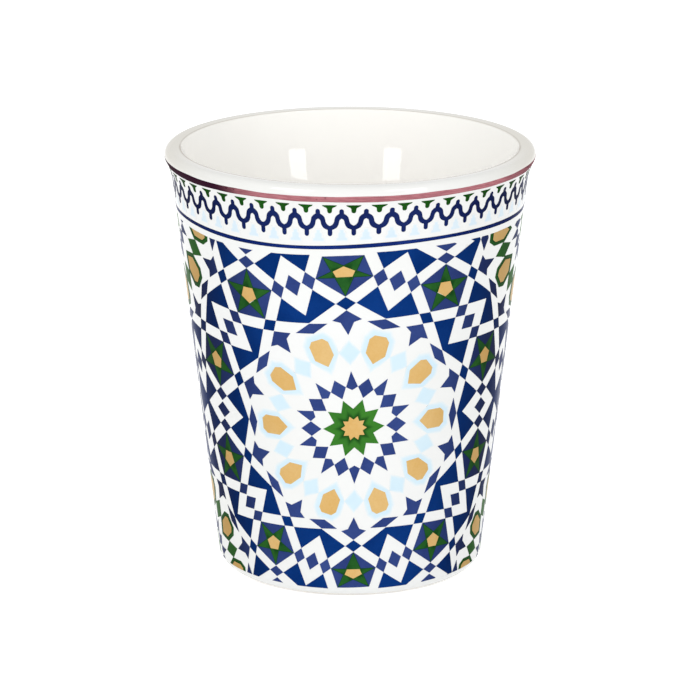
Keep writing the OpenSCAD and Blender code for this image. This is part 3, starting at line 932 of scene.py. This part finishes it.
class Wiring:
    """Adds nodes to a tree and links them."""

    def __init__(self, tree):
        self.tree = tree

    def add(self, kind, values=None):
        node = self.tree.nodes.new(kind)
        for key, value in (values or {}).items():
            if key in node.bl_rna.properties:
                setattr(node, key, value)
            else:
                node.inputs[key].default_value = value
        return node

    def link(self, source, target):
        self.tree.links.new(source, target)

    def noise(self, where, scale, detail=2.0, rough=0.5):
        node = self.add("ShaderNodeTexNoise", {
            "Scale": scale, "Detail": detail, "Roughness": rough})
        self.link(where, node.inputs["Vector"])
        return node.outputs["Fac"]

    def remap(self, value, low, high, to_low=0.0, to_high=1.0):
        node = self.add("ShaderNodeMapRange", {
            "interpolation_type": "SMOOTHSTEP", "From Min": low, "From Max": high,
            "To Min": to_low, "To Max": to_high})
        self.link(value, node.inputs["Value"])
        return node.outputs["Result"]

    def math(self, operation, a, b):
        node = self.add("ShaderNodeMath", {"operation": operation})
        for socket, value in zip(node.inputs, (a, b)):
            if isinstance(value, (int, float)):
                socket.default_value = value
            else:
                self.link(value, socket)
        return node.outputs["Value"]

    def mix(self, factor, a, b):
        node = self.add("ShaderNodeMix", {"data_type": "RGBA"})
        sockets = [node.inputs["Factor"], node.inputs[6], node.inputs[7]]
        for socket, value in zip(sockets, (factor, a, b)):
            if isinstance(value, (int, float, tuple)):
                socket.default_value = value
            else:
                self.link(value, socket)
        return node.outputs[2]


def linear(r, g, b):
    """A colour as seen on screen, 0 to 255, in the shader's linear values."""
    seen = [v / 255 for v in (r, g, b)]
    values = [v / 12.92 if v < 0.04045 else ((v + 0.055) / 1.055) ** 2.4 for v in seen]
    return (*values, 1.0)


def glaze_skin_group():
    """The glaze's slight waviness and its duller patches, as a height and a roughness."""
    group, given, made = new_group(
        "glaze_skin",
        [("Position", "NodeSocketVector", None), ("Roughness", "NodeSocketFloat", 0.08)],
        [("Height", "NodeSocketFloat"), ("Roughness", "NodeSocketFloat")])
    w = Wiring(group)
    broad = w.noise(given["Position"], 70, 1.5)
    fine = w.noise(given["Position"], 420, 2)
    height = w.math("ADD", broad, w.math("MULTIPLY", fine, 0.12))
    w.link(height, made["Height"])
    patch = w.noise(given["Position"], 160, 3)
    w.link(w.math("ADD", given["Roughness"], w.math("MULTIPLY", patch, 0.02)), made["Roughness"])
    return group


def white_tone_group():
    """The glaze's white: faint clouds and a few specks of iron; inside the cup it is warmer and, as
    painted light, brighter; the lip takes painted shade, and a dark line runs along its inner edge.
    """
    group, given, made = new_group(
        "white_tone",
        [("Position", "NodeSocketVector", None), ("Inside", "NodeSocketFloat", 0.0),
         ("Lip", "NodeSocketFloat", 0.0), ("Edge", "NodeSocketFloat", 0.0)],
        [("Colour", "NodeSocketColor")])
    w = Wiring(group)
    cloud = w.remap(w.noise(given["Position"], 45, 3), 0.3, 0.7)
    tone = w.mix(cloud, linear(232, 233, 231), linear(234, 235, 234))
    # Inside the cup the white is warmer and, as painted light, brighter
    tone = w.mix(given["Inside"], tone, w.mix(cloud, linear(253, 251, 247), linear(254, 253, 249)))
    # Painted shade on the lip, strongest at its sides
    tone = w.mix(given["Lip"], tone, linear(216, 212, 201))
    # A dark line along the lip's inner edge, broken up by noise
    edge_line_breaks = w.remap(w.noise(given["Position"], 300, 2), 0.3, 0.6, 0.75, 1.0)
    edge_line = w.math("MULTIPLY", given["Edge"], edge_line_breaks)
    tone = w.mix(edge_line, tone, linear(156, 145, 128))
    speck = w.add("ShaderNodeTexVoronoi", {"Scale": 210.0, "Randomness": 1.0})
    w.link(given["Position"], speck.inputs["Vector"])
    rare = w.math("GREATER_THAN", w.noise(given["Position"], 130, 0), 0.7)
    dot = w.math("MULTIPLY", w.remap(speck.outputs["Distance"], 0.05, 0.09, 0.22, 0.0), rare)
    w.link(w.mix(dot, tone, linear(196, 184, 168)), made["Colour"])
    return group


def fired_colour_group():
    """Pigment that lies thicker and thinner: clouds, a fine print grain and a cell's own tone."""
    group, given, made = new_group(
        "fired_colour",
        [("Position", "NodeSocketVector", None), ("Tone", "NodeSocketFloat", 0.5),
         ("Thin", "NodeSocketColor", None), ("Thick", "NodeSocketColor", None),
         ("Grain", "NodeSocketFloat", 0.3)],
        [("Colour", "NodeSocketColor"), ("Load", "NodeSocketFloat")])
    w = Wiring(group)
    cloud = w.noise(given["Position"], 190, 3, 0.6)
    grain = w.noise(given["Position"], 2600, 2, 0.7)
    spread = w.math("MULTIPLY", w.math("SUBTRACT", grain, 0.5), given["Grain"])
    load = w.math("ADD", w.math("ADD", w.math("MULTIPLY", given["Tone"], 0.55), spread),
                  w.math("MULTIPLY", w.math("SUBTRACT", cloud, 0.25), 0.9))
    held = w.remap(load, 0.0, 1.0)
    w.link(w.mix(held, given["Thick"], given["Thin"]), made["Colour"])
    w.link(held, made["Load"])
    return group


# The painted shade on the flanks darkens a colour towards this share of it at its thickest
FLANK_SHADE_SHARE = 0.25
GLAZE_SKIN = glaze_skin_group()
WHITE_TONE = white_tone_group()
FIRED_COLOUR = fired_colour_group()


# Finishes
def new_material(name):
    """A material with its shader and the object's own coordinates."""
    material = bpy.data.materials.new(name)
    material.use_nodes = True
    w = Wiring(material.node_tree)
    shader = material.node_tree.nodes["Principled BSDF"]
    position = w.add("ShaderNodeTexCoord").outputs["Object"]
    return material, w, shader.inputs, position


def attribute(w, name):
    return w.add("ShaderNodeAttribute", {"attribute_name": name}).outputs["Fac"]


def place_group(w, group, **links):
    node = w.add("ShaderNodeGroup")
    node.node_tree = group
    for key, value in links.items():
        socket = node.inputs[key.replace("_", " ").title()]
        if isinstance(value, (int, float, tuple)):
            socket.default_value = value
        else:
            w.link(value, socket)
    return node.outputs


def add_glaze_skin(w, shader, position, roughness, strength, extra=None):
    skin = place_group(w, GLAZE_SKIN, position=position, roughness=roughness)
    w.link(skin["Roughness"], shader["Roughness"])
    height = skin["Height"]
    if extra is not None:
        height = w.math("ADD", height, extra)
    bump = w.add("ShaderNodeBump", {"Strength": strength, "Distance": 0.0004})
    w.link(height, bump.inputs["Height"])
    w.link(bump.outputs["Normal"], shader["Normal"])


def white_glaze():
    material, w, shader, position = new_material("white_glaze")
    white = place_group(
        w, WHITE_TONE, position=position, inside=attribute(w, "inside"),
        lip=attribute(w, "lip"), edge=attribute(w, "edge"))
    w.link(white["Colour"], shader["Base Color"])
    add_glaze_skin(w, shader, position, 0.01, 0.02)
    shader["IOR"].default_value = 1.5
    return material


def bare_clay():
    material, w, shader, position = new_material("bare_clay")
    grain = w.noise(position, 1500, 4, 0.7)
    cloud = w.noise(position, 120, 3)
    fleck = w.remap(w.noise(position, 2400, 1), 0.62, 0.72)
    tone = w.mix(w.remap(cloud, 0.3, 0.7), linear(238, 234, 226), linear(244, 241, 235))
    tone = w.mix(w.math("MULTIPLY", fleck, 0.35), tone, linear(206, 196, 180))
    w.link(tone, shader["Base Color"])
    w.link(w.remap(grain, 0.2, 0.8, 0.72, 0.92), shader["Roughness"])
    bump = w.add("ShaderNodeBump", {"Strength": 0.35, "Distance": 0.00012})
    w.link(grain, bump.inputs["Height"])
    w.link(bump.outputs["Normal"], shader["Normal"])
    return material


def fired_colour(name, thin, thick, grain=0.3, flank_shading=0.46, middle=None, centre=None, outline=None):
    """A fired colour, from thin to thick. Its flank shading says how much painted shade darkens it on
    the flanks, middle lightens it between its edges, centre darkens it round its hole, and outline is
    the colour of a fine line along its edge."""
    material, w, shader, position = new_material(name)
    colour = place_group(
        w, FIRED_COLOUR, position=position, tone=attribute(w, "tone"),
        thin=linear(*thin), thick=linear(*thick), grain=grain)
    tone = colour["Colour"]
    fade = attribute(w, "fade")
    if middle:
        brushed = w.remap(w.noise(position, 240, 2), 0.3, 0.6, 0.35, 1.0)
        lit = w.math("MULTIPLY", w.remap(fade, 0.1, 1.0), brushed)
        tone = w.mix(lit, tone, linear(*middle))
    if centre:
        tone = w.mix(w.remap(fade, 0.45, 1.0, 0.0, 0.8), tone, linear(*centre))
    if outline:
        tone = w.mix(w.math("MULTIPLY", attribute(w, "line"), 0.8), tone, linear(*outline))
    # Painted shade: the colour is darkened on the flanks towards this share of its thickest tone
    deep = tuple(FLANK_SHADE_SHARE * v for v in linear(*thick)[:3]) + (1.0,)
    tone = w.mix(w.math("MULTIPLY", attribute(w, "flank_shade"), flank_shading), tone, deep)
    w.link(tone, shader["Base Color"])
    add_glaze_skin(w, shader, position, 0.08, 0.05, w.math("MULTIPLY", colour["Load"], 0.05))
    shader["Specular IOR Level"].default_value = 0.006
    return material


def soft_sky(name, colour, deep, full):
    """Pale blue that melts into the white at its edges. full is the fade at which it is all blue."""
    material, w, shader, position = new_material(name)
    white = place_group(w, WHITE_TONE, position=position)["Colour"]
    cloud = w.remap(w.noise(position, 260, 2), 0.3, 0.7)
    blue = w.mix(cloud, linear(*colour), linear(*deep))
    wander = w.math("MULTIPLY", w.math("SUBTRACT", w.noise(position, 900, 2), 0.5), 0.25)
    held = w.remap(w.math("ADD", attribute(w, "fade"), wander), 0.02, full)
    w.link(w.mix(held, white, blue), shader["Base Color"])
    add_glaze_skin(w, shader, position, 0.05, 0.05)
    shader["Specular IOR Level"].default_value = 0.4
    return material


def plum_lustre():
    """Fired metal lustre: streaked by the brush, dark where it lies thick and where a dark reflection
    is painted on.
    """
    material, w, shader, position = new_material("plum_lustre")
    stretch = w.add("ShaderNodeMapping", {"Scale": (1.0, 1.0, 9.0)})
    w.link(position, stretch.inputs["Vector"])
    streak = w.noise(stretch.outputs["Vector"], 520, 3, 0.6)
    load = attribute(w, "load")
    wander = w.math("MULTIPLY", w.math("SUBTRACT", w.noise(position, 180, 2), 0.5), 0.35)
    thick = w.remap(w.math("ADD", load, wander), 0.25, 0.85)
    tone = w.mix(w.remap(streak, 0.3, 0.7), linear(160, 99, 107), linear(186, 122, 129))
    speck = w.add("ShaderNodeTexVoronoi", {"Scale": 1100.0, "Randomness": 1.0})
    w.link(position, speck.inputs["Vector"])
    rare = w.math("GREATER_THAN", w.noise(position, 170, 0), 0.62)
    dot = w.math("MULTIPLY", w.remap(speck.outputs["Distance"], 0.12, 0.3, 0.8, 0.0), rare)
    tone = w.mix(dot, tone, linear(92, 36, 50))
    # Thick lustre, and the painted dark reflection left of the front, turn dark plum
    w.link(w.mix(thick, tone, linear(48, 18, 36)), shader["Base Color"])
    shader["Metallic"].default_value = 0.06
    shader["Specular IOR Level"].default_value = 0.0
    w.link(w.remap(streak, 0.2, 0.8, 0.2, 0.34), shader["Roughness"])
    bump = w.add("ShaderNodeBump", {"Strength": 0.15, "Distance": 0.0001})
    w.link(streak, bump.inputs["Height"])
    w.link(bump.outputs["Normal"], shader["Normal"])
    return material


# The pieces, each with its finish
def settle(piece, node, material):
    """Gives a piece its finish and its place in the frame."""
    piece.data.materials.clear()
    piece.data.materials.append(material)
    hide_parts(node)
    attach(piece, "root")


clay = clay_body()
smooth(clay)
settle(clay, "body", bare_clay())

glaze = cup_glaze()
smooth(glaze)
# Painted light: where the glaze's white is painted brighter, inside the cup
paint(glaze, "inside", inside_light_mask)
# Painted shade on the lip
paint(glaze, "lip", lip_shade_mask)
paint(glaze, "edge", on_lip_edge)
settle(glaze, "glaze", white_glaze())

lustre = lustre_band()
smooth(lustre, 60)
# Where the lustre lies thick, and the painted dark reflection left of the front
paint(lustre, "load", lustre_thick_and_reflection)
settle(lustre, "lustre_line", plum_lustre())

drops = border_sheet("green_drops", drop_outline())
settle(drops, "border_drops",
       fired_colour("drop_green", (34, 92, 28), (18, 62, 14)))
ribbon = border_sheet("zigzag_ribbon", ribbon_outline(), shift=0.5)
settle(ribbon, "border_ribbon",
       fired_colour("ribbon_navy", (30, 46, 102), (16, 27, 78), flank_shading=0.75))
trees = border_sheet("pale_trees", tree_outline(), shift=0.5, rim=TREE_RIM)
settle(trees, "border_trees",
       soft_sky("tree_sky", (208, 227, 238), (202, 223, 238), full=1.3))
rule = rule_line()
settle(rule, "border_rule",
       fired_colour("rule_navy", (12, 34, 98), (4, 14, 66), flank_shading=0.6, middle=(24, 46, 114)))

cobalt = field_sheet("cobalt_tiles", cobalt_cells)
settle(cobalt, "field_cobalt",
       fired_colour("cobalt_blue", (14, 57, 127), (4, 39, 99), flank_shading=0.8))
violet = field_sheet("violet_tiles", violet_cells)
settle(violet, "field_violet",
       fired_colour("violet_blue", (58, 77, 137), (42, 58, 115), flank_shading=1.0))
green = field_sheet("green_tiles", green_cells)
settle(green, "field_green",
       fired_colour("leaf_green", (60, 124, 44), (34, 84, 36),
                    centre=(14, 58, 22), outline=(12, 44, 30)))
ochre = field_sheet("ochre_tiles", ochre_cells)
settle(ochre, "field_ochre",
       fired_colour("ochre_yellow", (221, 186, 127), (212, 169, 99), grain=0.6, flank_shading=0.38))
sky = field_sheet("sky_tiles", sky_cells, film=SKY_FILM_T)
settle(sky, "field_sky",
       soft_sky("pale_sky", (206, 228, 239), (202, 226, 239), full=0.7))


# Stage: a white sweep, soft light, and the two low softboxes that show inside the cup
def seen_directly(w):
    """1 for the rays that show the backdrop: to the eye, in gloss and through glass."""
    path = w.add("ShaderNodeLightPath").outputs
    mirrored_rays = w.math("MAXIMUM", path["Is Glossy Ray"], path["Is Transmission Ray"])
    return w.math("MAXIMUM", path["Is Camera Ray"], mirrored_rays)


# In metres, and the strengths of the light that the world and the floor give
AIM = Vector((0, 0, 0.0354))
FLOOR_SIZE = 6
FLOOR_Z = -0.00002
WORLD_LIGHT = 0.72
FLOOR_LIGHT = 0.12
FLOOR_GLOW = 0.36


def stage():
    """The floor and the world, both white to the eye."""
    deselect()
    bpy.ops.mesh.primitive_plane_add(size=FLOOR_SIZE, location=(0, 0, FLOOR_Z))
    floor = bpy.context.object
    floor.name = "studio_floor"
    material, w, shader, _ = new_material("studio_white")
    shader["Base Color"].default_value = (0.9, 0.9, 0.9, 1)
    shader["Roughness"].default_value = 0.9
    shader["Specular IOR Level"].default_value = 0.0
    shader["Emission Color"].default_value = (1, 1, 1, 1)
    extra = w.math("MULTIPLY", seen_directly(w), FLOOR_GLOW)
    w.link(w.math("ADD", extra, FLOOR_LIGHT), shader["Emission Strength"])
    # From below, the floor lets the foot be seen
    through = w.add("ShaderNodeMixShader")
    nodes = material.node_tree.nodes
    w.link(w.add("ShaderNodeNewGeometry").outputs["Backfacing"], through.inputs["Fac"])
    w.link(nodes["Principled BSDF"].outputs["BSDF"], through.inputs[1])
    w.link(w.add("ShaderNodeBsdfTransparent").outputs["BSDF"], through.inputs[2])
    w.link(through.outputs["Shader"], nodes["Material Output"].inputs["Surface"])
    floor.data.materials.append(material)

    world = bpy.data.worlds.new("studio")
    bpy.context.scene.world = world
    world.use_nodes = True
    w = Wiring(world.node_tree)
    background = world.node_tree.nodes["Background"]
    extra = w.math("MULTIPLY", seen_directly(w), 1 - WORLD_LIGHT)
    w.link(w.math("ADD", extra, WORLD_LIGHT), background.inputs["Strength"])
    background.inputs["Color"].default_value = (1, 1, 1, 1)


def softbox(name, turn, lift, far, size, power, roll=0.0):
    """A rectangle of light that faces the cup, given by its turn, lift and distance."""
    deselect()
    place = AIM + far * Vector((cos(lift) * sin(turn), -cos(lift) * cos(turn), sin(lift)))
    bpy.ops.object.light_add(type="AREA", location=place)
    light = bpy.context.object
    light.name = name
    light.data.shape = "RECTANGLE"
    light.data.size, light.data.size_y = size
    light.data.energy = power
    facing = (AIM - place).to_track_quat("-Z", "Y")
    light.rotation_euler = (facing @ Quaternion((0, 0, 1), math.radians(roll))).to_euler()


stage()
softbox("right_strip", turn=40.1, lift=8.6, far=0.95, size=(0.213, 0.29), power=0.75, roll=-4.5)
softbox("left_strip", turn=-32.2, lift=9.2, far=0.95, size=(0.223, 0.29), power=0.75, roll=4.0)
softbox("left_softbox", turn=-38, lift=35, far=1.0, size=(0.4, 0.3), power=1.9)
softbox("right_softbox", turn=38, lift=35, far=1.0, size=(0.4, 0.3), power=1.3)

# Camera, at the photograph's angle
VIEW_LEAN = 16.016
VIEW_FAR = 0.6
VIEW_LENS = 187.84
SENSOR_W = 36
view = bpy.data.cameras.new("photo_view")
camera = bpy.data.objects.new("photo_view", view)
bpy.context.scene.collection.objects.link(camera)
camera.location = AIM + VIEW_FAR * Vector((0, -cos(VIEW_LEAN), sin(VIEW_LEAN)))
camera.rotation_euler = (math.radians(90 - VIEW_LEAN), 0, 0)
view.sensor_fit = "HORIZONTAL"
view.sensor_width = SENSOR_W
view.lens = VIEW_LENS
bpy.context.scene.camera = camera

bpy.context.scene.view_settings.view_transform = "Standard"
